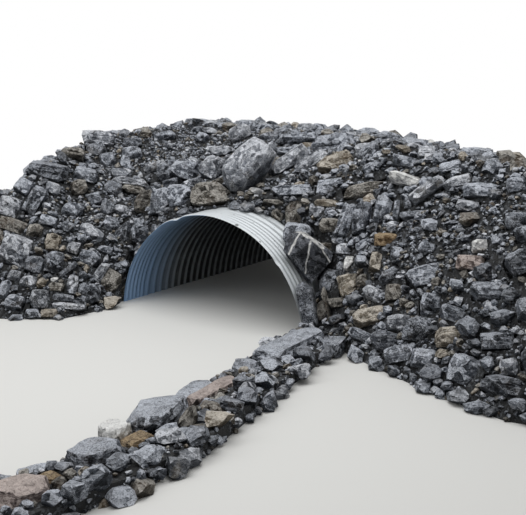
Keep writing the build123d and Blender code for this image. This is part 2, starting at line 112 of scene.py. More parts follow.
def maths(tree, operation, *values, clamp=False):
    node = addNode(tree, "Math", {"operation": operation, "use_clamp": clamp})
    for index, value in enumerate(values):
        if isinstance(value, (int, float)):
            node.inputs[index].default_value = value
        else:
            tree.links.new(value, node.inputs[index])
    return node.outputs[0]


def vectorMaths(tree, operation, *values, scale=None):
    # gives a number for a product, a length or a distance, and else a vector
    node = addNode(tree, "VectorMath", {"operation": operation})
    for index, value in enumerate(values):
        if isinstance(value, tuple):
            node.inputs[index].default_value = value
        else:
            tree.links.new(value, node.inputs[index])
    if scale is not None:
        tree.links.new(scale, node.inputs["Scale"])
    return node.outputs["Value" if operation in ("DOT_PRODUCT", "LENGTH", "DISTANCE") else "Vector"]


def noise(tree, place, scale, detail, roughness):
    settings = {"Scale": scale, "Detail": detail, "Roughness": roughness}
    return addNode(tree, "TexNoise", settings, {"Vector": place}).outputs[0]


def spread(tree, value, low, high):
    # 0 below low, 1 above high, smooth between
    node = addNode(tree, "MapRange", {"interpolation_type": "SMOOTHSTEP", 1: low, 2: high}, {0: value})
    return node.outputs[0]


def brokenFacets(tree, space, across, tilt):
    # a broken face: Voronoi cells so far across, each a plane of its own lean,
    # height = (place - middle of the cell) . (the cell's random colour - 0.5) * tilt
    cells = addNode(tree, "TexVoronoi", {"Scale": 1 / across}, {"Vector": space})
    away = vectorMaths(tree, "SUBTRACT", space, cells.outputs["Position"])
    lean = vectorMaths(tree, "SUBTRACT", cells.outputs["Color"], (0.5, 0.5, 0.5))
    height = vectorMaths(tree, "DOT_PRODUCT", away, lean)
    shade = addNode(tree, "SeparateColor", {}, {0: cells.outputs["Color"]}).outputs[1]
    return maths(tree, "MULTIPLY", height, tilt), shade


# Helpers for shapes

def unit(vectors):
    return vectors / np.linalg.norm(vectors, axis=-1, keepdims=True)


def outward(points, faces):
    # turns the faces of a shape round the origin so that they point away from it
    corner = points[faces]
    facing = np.cross(corner[:, 1] - corner[:, 0], corner[:, 2] - corner[:, 0])
    inward = (facing * corner.mean(axis=1)).sum(axis=1) < 0
    faces[inward] = faces[inward][:, ::-1]
    return faces


def cubeGrid(steps):
    # a closed grid of directions: each face of a cube cut evenly by angle, u = tan(a), and welded
    line = np.tan(np.linspace(-1, 1, steps + 1) * math.pi / 4)
    u, v = np.meshgrid(line, line, indexing="ij")
    one = np.ones_like(u)
    sides = []
    for axis in range(3):
        for sign in (1, -1):
            side = np.stack([sign * one, u, v], axis=-1)
            sides.append(np.roll(side, axis, axis=-1).reshape(-1, 3))
    places = np.concatenate(sides)
    welded, where = np.unique(np.round(places, 6), axis=0, return_inverse=True)
    cell = np.arange((steps + 1) ** 2).reshape(steps + 1, steps + 1)
    quad = np.stack([cell[:-1, :-1], cell[1:, :-1], cell[1:, 1:], cell[:-1, 1:]], axis=-1).reshape(-1, 4)
    quads = np.concatenate([quad + side * (steps + 1) ** 2 for side in range(6)])
    return unit(welded), outward(welded, where.reshape(-1)[quads])


def ringGrid(rings, around):
    # a coarse closed grid of directions: rings of points between two poles, every other one turned by
    # half a step, direction = (sin p cos a, sin p sin a, cos p)
    p = math.pi * (np.arange(rings)[:, None] + 1) / (rings + 1) + np.zeros((1, around))
    a = 2 * math.pi * (np.arange(around)[None] + 0.5 * (np.arange(rings)[:, None] % 2)) / around
    ring = np.stack([np.sin(p) * np.cos(a), np.sin(p) * np.sin(a), np.cos(p)], axis=-1).reshape(-1, 3)
    points = np.concatenate([ring, [(0, 0, 1), (0, 0, -1)]])
    step = np.arange(around)
    after = (step + 1) % around
    last = (rings - 1) * around
    pole = np.full(around, len(ring))
    corners = [(step, after, pole), (step + last, after + last, pole + 1)]
    for k in range(rings - 1):
        upper, upperNext = step + k * around, after + k * around
        lower, lowerNext = upper + around, upperNext + around
        if k % 2 == 0:
            corners += [(upper, lower, upperNext), (upperNext, lower, lowerNext)]
        else:
            corners += [(lower, lowerNext, upper), (upper, lowerNext, upperNext)]
    return points, outward(points, np.concatenate([np.stack(three, axis=-1) for three in corners]))


def latticeNoise(places, seed):
    # smooth noise from -1 to 1: random numbers at whole places, blended by t * t * (3 - 2 t)
    cell = np.floor(places).astype(np.int64)
    t = places - cell
    t = t * t * (3 - 2 * t)
    total = np.zeros(len(places))
    for corner in range(8):
        step = np.array([corner & 1, corner >> 1 & 1, corner >> 2 & 1])
        key = ((cell + step) * np.array([73856093, 19349663, 83492791])).sum(axis=1) + seed * 40503
        key = ((key ^ (key >> 13)) * 1274126177) & 0x7fffffff
        key = ((key ^ (key >> 15)) * 2246822519) & 0x7fffffff
        weight = np.where(step == 1, t, 1 - t).prod(axis=1)
        total += weight * (key / 0x7fffffff * 2 - 1)
    return total


def newMesh(name, points, faces):
    # a mesh of faces that all have the same number of sides
    mesh = bpy.data.meshes.new(name)
    mesh.vertices.add(len(points))
    mesh.vertices.foreach_set("co", points.astype(np.float32).ravel())
    mesh.loops.add(faces.size)
    mesh.loops.foreach_set("vertex_index", faces.astype(np.int32).ravel())
    mesh.polygons.add(len(faces))
    mesh.polygons.foreach_set("loop_start", np.arange(0, faces.size, faces.shape[1], dtype=np.int32))
    mesh.update(calc_edges=True)
    return mesh


def addPiece(name, mesh, smoothAngle):
    mesh.polygons.foreach_set("use_smooth", np.ones(len(mesh.polygons), dtype=bool))
    mesh.set_sharp_from_angle(angle=math.radians(smoothAngle))
    piece = bpy.data.objects.new(name, mesh)
    bpy.context.scene.collection.objects.link(piece)
    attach(piece, "root")
    return piece


def rockPiece(name, parts, smoothAngle):
    # one object from many closed rocks, with what their points and faces carry
    counts = np.cumsum([0] + [len(part["points"]) for part in parts])
    points = np.concatenate([part["points"] for part in parts])
    faces = np.concatenate([part["faces"] + start for part, start in zip(parts, counts)])
    mesh = newMesh(name, points, faces)
    kinds = np.concatenate([part["kind"] for part in parts])
    used = np.unique(kinds)
    mesh.polygons.foreach_set("material_index", np.searchsorted(used, kinds).astype(np.int32))
    for key, kind, domain in (("rockSpace", "FLOAT_VECTOR", "POINT"), ("rockTone", "FLOAT", "POINT"),
                              ("edgeWear", "FLOAT", "POINT"), ("faceTone", "FLOAT", "FACE")):
        values = np.concatenate([part[key] for part in parts]).astype(np.float32).ravel()
        attribute = mesh.attributes.new(key, kind, domain)
        attribute.data.foreach_set("vector" if kind == "FLOAT_VECTOR" else "value", values)
    for index in used:
        mesh.materials.append(rockMaterials[index])
    return addPiece(name, mesh, smoothAngle)


# Rock

# Each kind: its dark heart, its split faces, its dusty tops (dust with painted top light) and bruises, its
# stain, and how dull it is
rockKinds = {
    # blue-grey slate, the bulk of the bank: near black where fresh, pale where rain-washed dust and painted
    # top light lie
    "slate": {"heart": "#121418", "face": "#666c76", "dustyAndLit": "#c6cbd4", "stain": "#413a33",
              "stained": 0.15, "dustAndTopLight": 0.9, "rough": 0.55},
    # the same slate weathered pale
    "paleSlate": {"heart": "#2c3036", "face": "#8b9099", "dustyAndLit": "#dde0e6", "stain": "#6c665c",
                  "stained": 0.15, "dustAndTopLight": 0.9, "rough": 0.62},
    # schist with iron in it: grey-brown faces, rough and dull
    "brownSchist": {"heart": "#211e1b", "face": "#67625a", "dustyAndLit": "#b6b3ad", "stain": "#5b4c3d",
                    "stained": 0.3, "dustAndTopLight": 0.85, "rough": 0.75},
    # sandstone: tan, even, dry
    "tanStone": {"heart": "#433c33", "face": "#958b7b", "dustyAndLit": "#d0cac0", "stain": "#786650",
                 "stained": 0.3, "dustAndTopLight": 0.8, "rough": 0.8},
    # rust-coloured rock
    "rustStone": {"heart": "#40342a", "face": "#8c7458", "dustyAndLit": "#b8a689", "stain": "#62492f",
                  "stained": 0.4, "dustAndTopLight": 0.6, "rough": 0.8},
    # vein quartz: white, grey in the hollows
    "quartz": {"heart": "#85868a", "face": "#d3d3d1", "dustyAndLit": "#eeeeec", "stain": "#a99d88",
               "stained": 0.15, "dustAndTopLight": 0.8, "rough": 0.5},
    # pinkish feldspar rock
    "pinkStone": {"heart": "#4c4240", "face": "#8d7f7b", "dustyAndLit": "#c6bab4", "stain": "#75604f",
                  "stained": 0.3, "dustAndTopLight": 0.75, "rough": 0.75},
    # black slate shot with quartz seams: runs of points on the boulder's face, along it and up
    "veinedSlate": {"heart": "#111317", "face": "#44474e", "dustyAndLit": "#8f939b", "stain": "#2f2b28",
                    "stained": 0.05, "dustAndTopLight": 0.6, "rough": 0.5, "seamColour": "#e2e2e0",
                    "seamWidth": 0.013, "wobble": 0.07, "wobbleScale": 7.0, "faceAlong": (0.906, 0.423, 0.0),
                    "seams": [[(1.12, 1.11), (1.08, 1.0), (1.02, 0.88)],
                              [(1.26, 1.02), (1.22, 0.84), (1.21, 0.67)],
                              [(0.94, 1.12), (1.14, 1.12), (1.39, 0.96), (1.51, 0.76)]]},
}

# the grain of all of them, in metres: facets left by breaking, and the bedding's layers
rockGrain = {"facet": 0.055, "chip": 0.021, "layer": 0.026, "run": 0.22, "grit": 0.012, "patch": 0.19,
             "facetTilt": 1.2, "chipTilt": 0.7, "layerDepth": 0.014, "gritDepth": 0.003}

# how far each thing moves a stone's lightness, how much of each coat is seen (the dust coat is also painted
# top light, the damp coat painted shade), and between which values of the facing or the grit a coat sets in
rockShade = {"streak": 1.7, "side": 0.4, "facet": 0.6, "chip": 0.3, "stain": 0.7, "dampAndShade": 0.75, "bruise": 0.6,
             "seam": 0.9, "dustAndLightUp": (0.10, 0.75), "dustAndLightGrit": (0.25, 0.52), "dampAndShadeDown": (0.0, 0.6),
             "bruiseGrit": (0.42, 0.60)}


def seamShare(tree, look):
    # how far inside a seam a place is: its distance from each run's straight lines, on the face
    place = addNode(tree, "TexCoord").outputs["Object"]
    settings = {"Scale": look["wobbleScale"], "Detail": 3.0}
    wobble = addNode(tree, "TexNoise", settings, {"Vector": place}).outputs["Color"]
    wobble = vectorMaths(tree, "MULTIPLY_ADD", wobble, (look["wobble"],) * 3, (-look["wobble"] / 2,) * 3)
    place = vectorMaths(tree, "ADD", place, wobble)
    along = vectorMaths(tree, "DOT_PRODUCT", place, look["faceAlong"])
    up = addNode(tree, "SeparateXYZ", {}, {0: place}).outputs[2]
    onFace = addNode(tree, "CombineXYZ", {}, {0: along, 1: up}).outputs[0]
    nearest = None
    for run in look["seams"]:
        for (x0, y0), (x1, y1) in zip(run, run[1:]):
            dx, dy = x1 - x0, y1 - y0
            span = dx * dx + dy * dy
            away = vectorMaths(tree, "SUBTRACT", onFace, (x0, y0, 0))
            share = vectorMaths(tree, "DOT_PRODUCT", away, (dx / span, dy / span, 0))
            share = maths(tree, "MULTIPLY", share, 1.0, clamp=True)
            foot = vectorMaths(tree, "SCALE", (dx, dy, 0), scale=share)
            gap = vectorMaths(tree, "DISTANCE", away, foot)
            nearest = gap if nearest is None else maths(tree, "MINIMUM", nearest, gap)
    return maths(tree, "SUBTRACT", 1.0, spread(tree, nearest, look["seamWidth"] * 0.3, look["seamWidth"]))


def rockMaterial(name, look, grain, shade):
    material, tree, shader = newMaterial(name)
    space = addNode(tree, "Attribute", {"attribute_name": "rockSpace"}).outputs["Vector"]
    tone = addNode(tree, "Attribute", {"attribute_name": "rockTone"}).outputs["Fac"]
    wear = addNode(tree, "Attribute", {"attribute_name": "edgeWear"}).outputs["Fac"]
    side = addNode(tree, "Attribute", {"attribute_name": "faceTone"}).outputs["Fac"]
    # bedding: noise pressed flat, so that it runs as streaks along the stone
    squash = (1 / grain["run"], 1 / grain["run"], 1 / grain["layer"])
    layers = vectorMaths(tree, "MULTIPLY", space, squash)
    streak = noise(tree, layers, 1.0, 4.0, 0.6)
    patch = noise(tree, space, 1 / grain["patch"], 4.0, 0.6)
    grit = noise(tree, space, 1 / grain["grit"], 2.0, 0.6)
    facet, facetShade = brokenFacets(tree, space, grain["facet"], grain["facetTilt"])
    chip, chipShade = brokenFacets(tree, space, grain["chip"], grain["chipTilt"])
    height = maths(tree, "ADD", facet, chip)
    height = maths(tree, "MULTIPLY_ADD", streak, grain["layerDepth"], height)
    height = maths(tree, "MULTIPLY_ADD", grit, grain["gritDepth"], height)
    bump = addNode(tree, "Bump", {"Strength": 1.0, "Distance": 1.0}, {"Height": height}).outputs[0]
    light = maths(tree, "MULTIPLY_ADD", maths(tree, "SUBTRACT", streak, 0.5), shade["streak"], tone)
    light = maths(tree, "MULTIPLY_ADD", maths(tree, "SUBTRACT", side, 0.5), shade["side"], light)
    light = maths(tree, "MULTIPLY_ADD", maths(tree, "SUBTRACT", facetShade, 0.5), shade["facet"], light)
    chipLight = maths(tree, "SUBTRACT", chipShade, 0.5)
    light = maths(tree, "MULTIPLY_ADD", chipLight, shade["chip"], light, clamp=True)
    colour = mixColours(tree, light, linear(look["heart"]), linear(look["face"]))
    stain = spread(tree, patch, 0.60 - 0.3 * look["stained"], 0.68)
    colour = mixColours(tree, maths(tree, "MULTIPLY", stain, shade["stain"]), colour, linear(look["stain"]))
    # rain-washed dust and painted top light on each facet that faces up, damp with painted shade on what
    # faces down, bruises along the edges
    upward = addNode(tree, "SeparateXYZ", {}, {0: bump}).outputs[2]
    dustAndTopLight = spread(tree, upward, *shade["dustAndLightUp"])
    dustAndTopLight = maths(tree, "MULTIPLY", dustAndTopLight, spread(tree, grit, *shade["dustAndLightGrit"]))
    dustAndTopLight = maths(tree, "MULTIPLY", dustAndTopLight, maths(tree, "MULTIPLY_ADD", light, 0.7, 0.4))
    dustAndTopLight = maths(tree, "MULTIPLY", dustAndTopLight, maths(tree, "MULTIPLY_ADD", tone, 0.6, 0.65), clamp=True)
    colour = mixColours(tree, maths(tree, "MULTIPLY", dustAndTopLight, look["dustAndTopLight"]), colour, linear(look["dustyAndLit"]))
    # painted shade: what faces down darkens towards the heart's colour, as damp
    dampAndShade = spread(tree, maths(tree, "MULTIPLY", upward, -1.0), *shade["dampAndShadeDown"])
    colour = mixColours(tree, maths(tree, "MULTIPLY", dampAndShade, shade["dampAndShade"]), colour, linear(look["heart"]))
    bruise = maths(tree, "MULTIPLY", wear, spread(tree, grit, *shade["bruiseGrit"]))
    colour = mixColours(tree, maths(tree, "MULTIPLY", bruise, shade["bruise"]), colour, linear(look["dustyAndLit"]))
    if "seams" in look:
        seam = maths(tree, "MULTIPLY", seamShare(tree, look), shade["seam"])
        colour = mixColours(tree, seam, colour, linear(look["seamColour"]))
    tree.links.new(colour, shader.inputs["Base Color"])
    tree.links.new(maths(tree, "MULTIPLY_ADD", grit, 0.3, look["rough"] - 0.15), shader.inputs["Roughness"])
    shader.inputs["Specular IOR Level"].default_value = 0.2
    tree.links.new(bump, shader.inputs["Normal"])
    return material


kindNames = list(rockKinds)
rockMaterials = [rockMaterial(name, look, rockGrain, rockShade) for name, look in rockKinds.items()]
print("rock materials:", len(rockMaterials))

# the pipe's hole in the bank: its radius, how far its axis lies under the ground, and the room kept to it
boreLook = {"radius": 1.3798, "drop": 0.13, "keep": 0.0015}


def solidsOf(node):
    # the node's mesh welded by place and taken apart into its solids
    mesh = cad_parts[node].data
    places = np.empty(len(mesh.vertices) * 3)
    mesh.vertices.foreach_get("co", places)
    corners = np.empty(len(mesh.loops), dtype=np.int64)
    mesh.loops.foreach_get("vertex_index", corners)
    points, weld = np.unique(np.round(places.reshape(-1, 3), 5), axis=0, return_inverse=True)
    triangles = weld.reshape(-1)[corners].reshape(-1, 3)
    label = np.arange(len(points))
    while True:
        lower = label.copy()
        np.minimum.at(lower, triangles.ravel(), np.repeat(label[triangles].min(axis=1), 3))
        lower = lower[lower]
        if (lower == label).all():
            break
        label = lower
    return [(points, triangles[label[triangles[:, 0]] == k]) for k in np.unique(label[triangles[:, 0]])]


def fromBore(points):
    # distance from the pipe's axis
    return np.hypot(points[:, 0], points[:, 2] + boreLook["drop"])


def clearOfPipe(points):
    # what lies inside the hole is pushed straight out of it, what lies under the ground is lifted onto it
    distance = fromBore(points)
    floor = boreLook["radius"] + boreLook["keep"]
    pushed = np.where((distance < floor) & (points[:, 1] > -0.1), floor / distance, 1.0)
    points[:, 0] *= pushed
    points[:, 2] = (points[:, 2] + boreLook["drop"]) * pushed - boreLook["drop"]
    points[:, 2] = np.maximum(points[:, 2], 0.001)
    return np.clip(points, cadBox[0], cadBox[1])


def splitFaces(points, triangles):
    # the flat faces of a solid as unit normals and distances, without those round the pipe
    corner = points[triangles]
    cross = np.cross(corner[:, 1] - corner[:, 0], corner[:, 2] - corner[:, 0])
    area = np.linalg.norm(cross, axis=1)
    onPipe = (np.abs(fromBore(corner.reshape(-1, 3)) - boreLook["radius"]) < 0.001).reshape(-1, 3).all(axis=1)
    kept = (area > 2e-6) & ~onPipe
    normals = cross[kept] / area[kept, None]
    heights = (normals * corner[kept, 0]).sum(axis=1)
    _, first = np.unique(np.round(np.column_stack([normals * 50, heights * 500])), axis=0, return_index=True)
    middle = (corner.mean(axis=1) * area[:, None]).sum(axis=0) / area.sum()
    return normals[first], heights[first], middle, area[kept][first]


def breakRock(directions, normals, heights, ridge):
    # r(d) = the least of h / (n . d) over the planes, then what lies within ridge of an edge is
    # pulled onto it by least squares, so that edges stay keen on a coarse grid
    closing = directions @ normals.T
    reach = np.where(closing > 1e-4, heights / np.maximum(closing, 1e-4), 1e6)
    points = directions * reach.min(axis=1)[:, None]
    gap = heights - points @ normals.T
    weight = np.clip(1 - gap / ridge, 0, 1)
    outer = normals[:, :, None] * normals[:, None, :]
    matrix = np.eye(3) * 0.02 + np.einsum("vk,kij->vij", weight, outer)
    target = 0.02 * points + np.einsum("vk,k,ki->vi", weight, heights, normals)
    points = np.linalg.solve(matrix, target[:, :, None])[:, :, 0]
    gap = heights - points @ normals.T
    owner = np.argmin(np.abs(gap), axis=1)
    second = np.partition(np.abs(gap), 1, axis=1)[:, 1]
    return points, owner, second


# how a stone of the CAD part is dressed: it swells by a share to fill its joints, then its faces are split
# again by cleavage, its layers stand back unevenly and its skin is broken, as shares of its size. The
# grid's cells, the layers and the worn edge are in metres
stoneLook = {"swell": 0.09, "flakes": 10, "flakeLean": 0.24, "flakeAt": (0.92, 0.99), "corners": 14,
             "cornerAt": (0.72, 0.95), "ledge": 0.09, "hollow": 0.09, "knob": 0.05, "layer": (0.03, 0.06),
             "layerLean": 0.08, "layerWave": 0.6, "edge": 0.006, "frontCell": 0.032, "backCell": 0.08,
             "leastSteps": 5, "mostSteps": 17}
# how far a stone is worn from its broken shape towards an ellipsoid: 0 not at all, 1 wholly
plainWear = 0.22
wornStones = {"crown_boulder": 0.5, "pale_block": 0.3, "white_slab": 0.3, "veined_boulder": 0.1}


def dressStone(points, triangles, kind, tone, cell, worn, seed, look):
    chance = np.random.default_rng(seed)
    normals, heights, middle, area = splitFaces(points, triangles)
    hull = points[np.unique(triangles)] - middle
    steps = int(np.clip(round(np.ptp(hull, axis=0).max() / cell), look["leastSteps"], look["mostSteps"]))
    heights = heights - normals @ middle
    inside = heights > 0.004
    normals, heights, area = normals[inside], heights[inside], area[inside]
    around, _ = cubeGrid(2)
    normals = np.concatenate([normals, around])
    heights = np.concatenate([heights, (hull @ around.T).max(axis=0)]) * (1 + look["swell"])
    corner = points[triangles].mean(axis=1) - middle
    _, axes = np.linalg.eigh(corner.T @ corner)
    axes = axes.T[::-1]
    axes[2] *= np.sign(np.linalg.det(axes))
    half = np.abs(hull @ axes.T).max(axis=0)
    size = half.mean()
    # new cleavage: some planes near the large faces, some across the corners
    near = normals[chance.choice(len(area), look["flakes"], p=area / area.sum())]
    near = unit(near + chance.normal(0, look["flakeLean"], near.shape))
    across = unit(chance.normal(0, 1, (look["corners"], 3)))
    flakeShare = chance.uniform(*look["flakeAt"], len(near))
    share = np.concatenate([flakeShare, chance.uniform(*look["cornerAt"], len(across))])
    added = np.concatenate([near, across])
    normals = np.concatenate([normals, added])
    heights = np.concatenate([heights, (hull @ added.T).max(axis=0) * share])
    grid, quads = cubeGrid(steps)
    directions = unit((grid * half) @ axes)
    surface, owner, second = breakRock(directions, normals, heights, half.max() / steps * 0.9)
    # worn: towards the ellipsoid r(d) = 1 / |d / half|
    egg = directions / np.linalg.norm((directions @ axes.T) / half, axis=1, keepdims=True)
    surface = surface + worn * (egg - surface)
    # ledges: each layer of the bedding stands back by its own amount on the sides
    bedding = unit(axes[2] + chance.normal(0, look["layerLean"], 3))
    along = surface @ bedding
    layer = along / chance.uniform(*look["layer"]) + look["layerWave"] * latticeNoise(surface * 7, seed)
    level = np.floor(layer).astype(np.int64)
    back = ((level * 7919 + seed * 104729) % 97) / 97.0
    edgeOn = 1 - np.abs(normals[owner] @ bedding)
    flat = surface - along[:, None] * bedding
    flat = flat / np.maximum(np.linalg.norm(flat, axis=1, keepdims=True), 1e-6)
    surface = surface - flat * (look["ledge"] * size * back * edgeOn)[:, None]
    hollow = np.clip(latticeNoise(surface / (0.8 * size) + seed, seed + 3), 0, 1) ** 1.5
    knob = 0.5 + 0.5 * latticeNoise(surface / max(0.25 * size, 0.035), seed + 5)
    surface = surface - directions * (size * (look["hollow"] * hollow + look["knob"] * knob))[:, None]
    faceOwner = owner[quads[:, 0]]
    return {
        "points": clearOfPipe(surface + middle),
        "faces": quads,
        "kind": np.full(len(quads), kind),
        "rockSpace": surface @ np.stack([axes[0], axes[1], bedding]).T + chance.uniform(-20, 20, 3),
        "rockTone": np.full(len(surface), tone),
        "edgeWear": np.exp(-second / look["edge"]),
        "faceTone": ((faceOwner * 3571 + seed * 613) % 89) / 89.0,
    }


# The stones of the CAD part, each node's in one piece

# share of each kind in a node, and the least and greatest tone of its stones
stoneMix = {
    "lintel_block": {"brownSchist": 1, "tone": (0.7, 0.75)},
    "crown_boulder": {"paleSlate": 1, "tone": (0.6, 0.65)},
    "crown_slab": {"paleSlate": 1, "tone": (0.8, 0.9)},
    "veined_boulder": {"veinedSlate": 1, "tone": (0.35, 0.4)},
    "right_jamb_slab": {"slate": 1, "tone": (0.2, 0.3)},
    "upright_stones": {"slate": 1, "tone": (0.4, 0.8)},
    "white_slab": {"quartz": 1, "tone": (0.9, 1.0)},
    "pointed_slab": {"paleSlate": 1, "tone": (0.7, 0.8)},
    "pale_block": {"paleSlate": 1, "tone": (0.6, 0.7)},
    "crest_slabs": {"paleSlate": 3, "slate": 2, "tone": (0.6, 1.0)},
    "toe_long_slab": {"slate": 1, "tone": (0.65, 0.7)},
}
plainMix = {"slate": 7, "paleSlate": 2.4, "brownSchist": 1.3, "tanStone": 0.12, "tone": (0.1, 0.9)}

# stones that the eye finds at once: their count along the node's longer run, from the left or from the
# front and starting at 0, with their kind of rock and their tone
notedStones = {
    "left_jamb_stones": {3: ("brownSchist", 0.3), 5: ("slate", 0.6), 6: ("slate", 0.7)},
    "left_wing_stones": {7: ("slate", 0.4), 10: ("paleSlate", 0.5), 11: ("tanStone", 0.4),
                         13: ("slate", 0.45), 17: ("paleSlate", 1.0), 19: ("paleSlate", 0.7)},
    "left_upper_stones": {1: ("slate", 0.3), 5: ("brownSchist", 0.6), 6: ("paleSlate", 0.6),
                          7: ("paleSlate", 0.7), 10: ("paleSlate", 0.9)},
    "left_toe_stones": {6: ("brownSchist", 0.9), 9: ("paleSlate", 0.7), 11: ("paleSlate", 0.7),
                        12: ("brownSchist", 0.6)},
    "crown_face_stones": {6: ("paleSlate", 0.6), 11: ("paleSlate", 0.4)},
    "crown_side_stones": {0: ("slate", 0.6), 1: ("brownSchist", 0.7), 2: ("brownSchist", 0.5),
                          3: ("brownSchist", 0.6), 4: ("slate", 0.7), 5: ("paleSlate", 0.6)},
    "right_jamb_stones": {0: ("brownSchist", 0.5), 1: ("slate", 0.1), 2: ("brownSchist", 0.6),
                          5: ("quartz", 0.5), 6: ("tanStone", 0.8), 7: ("tanStone", 0.6)},
    "right_shoulder_stones": {0: ("slate", 0.4), 2: ("tanStone", 1.0), 3: ("brownSchist", 0.4),
                              5: ("paleSlate", 0.7)},
    "rough_stones": {0: ("tanStone", 0.95), 1: ("slate", 0.7), 2: ("paleSlate", 0.6), 3: ("slate", 0.3),
                     4: ("slate", 0.5), 5: ("brownSchist", 0.4)},
    "right_wing_stones": {0: ("rustStone", 0.9), 6: ("quartz", 0.4)},
    "right_edge_stones": {1: ("paleSlate", 0.9), 2: ("tanStone", 0.9), 4: ("brownSchist", 0.6),
                          7: ("slate", 0.8), 14: ("pinkStone", 0.8)},
    "toe_near_stones": {0: ("slate", 0.6), 1: ("pinkStone", 0.6), 3: ("slate", 0.4), 4: ("slate", 0.4)},
    "toe_outer_stones": {0: ("pinkStone", 0.9), 1: ("slate", 0.2), 2: ("rustStone", 0.3), 3: ("slate", 0.7),
                         4: ("slate", 0.4), 5: ("rustStone", 0.2), 6: ("quartz", 0.9), 7: ("slate", 0.45)},
}

stoneNodes = [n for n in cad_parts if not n.startswith("fill_") and n not in ("toe_bed", "culvert_pipe")]
stoneCount = 0
triangleCount = 0
for node in sorted(stoneNodes):
    mix = stoneMix.get(node, plainMix)
    names = [key for key in mix if key != "tone"]
    weights = np.array([mix[key] for key in names], dtype=float)
    cell = stoneLook["backCell" if "back" in node else "frontCell"]
    solids = solidsOf(node)
    middles = np.array([points[np.unique(triangles)].mean(axis=0) for points, triangles in solids])
    run = np.ptp(middles[:, :2], axis=0).argmax()
    order = np.argsort(middles[:, run])
    noted = {order[count]: pair for count, pair in notedStones.get(node, {}).items()}
    parts = []
    for index, (points, triangles) in enumerate(solids):
        stoneCount += 1
        chance = np.random.default_rng(500 + stoneCount)
        kind = names[chance.choice(len(names), p=weights / weights.sum())]
        kind, tone = noted.get(index, (kind, chance.uniform(*mix["tone"])))
        worn = wornStones.get(node, plainWear)
        number = kindNames.index(kind)
        parts.append(dressStone(points, triangles, number, tone, cell, worn, stoneCount, stoneLook))
        triangleCount += len(parts[-1]["faces"]) * 2
    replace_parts(rockPiece("rock_" + node, parts, 24), node)
print("stones dressed:", stoneCount, "with", triangleCount, "triangles")


# The fill: broken rock painted near black for the shade between the stones, with small stones and chips lying
# on it

fillNodes = [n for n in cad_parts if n.startswith("fill_") or n == "toe_bed"]

# crushed slate seen only in the gaps: painted near black for the shade there, with paler chips, rough, broken
# at about 20 and 45 mm
fillLook = {"gapShade": "#08090a", "light": "#8e9298", "facet": 0.045, "facetTilt": 1.4, "chip": 0.018,
            "chipTilt": 1.2, "rough": 0.85}


def fillMaterial(look):
    material, tree, shader = newMaterial("crushed_slate")
    place = addNode(tree, "TexCoord").outputs["Object"]
    facet, facetShade = brokenFacets(tree, place, look["facet"], look["facetTilt"])
    chip, chipShade = brokenFacets(tree, place, look["chip"], look["chipTilt"])
    shade = maths(tree, "POWER", maths(tree, "MULTIPLY", facetShade, chipShade), 2.0)
    # the near black is painted shade for the gaps
    colour = mixColours(tree, shade, linear(look["gapShade"]), linear(look["light"]))
    tree.links.new(colour, shader.inputs["Base Color"])
    shader.inputs["Roughness"].default_value = look["rough"]
    height = maths(tree, "ADD", facet, chip)
    bump = addNode(tree, "Bump", {"Strength": 1.0, "Distance": 1.0}, {"Height": height})
    tree.links.new(bump.outputs[0], shader.inputs["Normal"])
    return material


crushed = fillMaterial(fillLook)
fillFaces = []
for node in fillNodes:
    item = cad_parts[node]
    item.data.materials.clear()
    item.data.materials.append(crushed)
    for points, triangles in solidsOf(node):
        fillFaces.append(points[triangles])
fillFaces = np.concatenate(fillFaces)
stoneFaces = []
for node in stoneNodes:
    for points, triangles in solidsOf(node):
        stoneFaces.append(points[triangles])
stoneFaces = np.concatenate(stoneFaces)


def faceTree(faces):
    numbers = np.arange(len(faces) * 3).reshape(-1, 3)
    return BVHTree.FromPolygons(faces.reshape(-1, 3).tolist(), numbers.tolist())


# what a point of the fill may not lie under: every solid but the pipe, and what has been laid on it so far
laid = [fillFaces, stoneFaces]
stoneTree = faceTree(stoneFaces)


# where the bank has hardly any stones but chips: low and high corners of three boxes
chipZones = [((2.25, -0.1, 0.85), (4.2, 0.75, 1.65)), ((-2.7, 1.1, 1.40), (-0.3, 2.4, 2.0)),
             ((-2.5, -0.35, 0.80), (-1.6, 0.95, 1.45))]


def openGround(look, seed):
    # random points of the fill's skin by area, fewer at the back, kept where nothing lies on them; with
    # each, the room that it has to the nearest stone
    chance = np.random.default_rng(seed)
    cross = np.cross(fillFaces[:, 1] - fillFaces[:, 0], fillFaces[:, 2] - fillFaces[:, 0])
    area = np.linalg.norm(cross, axis=1)
    normals = cross / np.maximum(area, 1e-12)[:, None]
    area = np.where(normals[:, 2] > -0.05, area, 0) * np.where(normals[:, 1] > 0.2, look["behind"], 1)
    chosen = chance.choice(len(area), look["points"], p=area / area.sum())
    a, b = chance.random(len(chosen)), chance.random(len(chosen))
    flip = a + b > 1
    a, b = np.where(flip, 1 - a, a), np.where(flip, 1 - b, b)
    face = fillFaces[chosen]
    points = face[:, 0] + a[:, None] * (face[:, 1] - face[:, 0]) + b[:, None] * (face[:, 2] - face[:, 0])
    facing = normals[chosen]
    everything = faceTree(np.concatenate(laid))
    free = [everything.ray_cast(s, n, 0.4)[0] is None
            for s, n in zip((points + facing * 0.002).tolist(), facing.tolist())]
    room = np.array([stoneTree.find_nearest(s)[3] for s in (points + facing * look["least"] * 0.4).tolist()])
    chips = np.zeros(len(points), dtype=bool)
    for low, high in chipZones:
        chips |= ((points > low) & (points < high)).all(axis=1)
    share = np.where(chips, look["inChips"], look["outside"])
    kept = np.array(free) & (room > look["least"] * 0.2) & (chance.random(len(room)) < share)
    kept &= ~((fromBore(points) < boreLook["radius"] + 0.01) & (points[:, 1] > -0.2))
    return points[kept], facing[kept], room[kept]


# small pieces 1 across: where their planes lie from the middle, and how deep and thick they are
bitLook = {"planes": (0.30, 0.50), "box": 0.54, "deep": (0.6, 0.95), "thick": (0.4, 0.8), "ridge": 0.12}


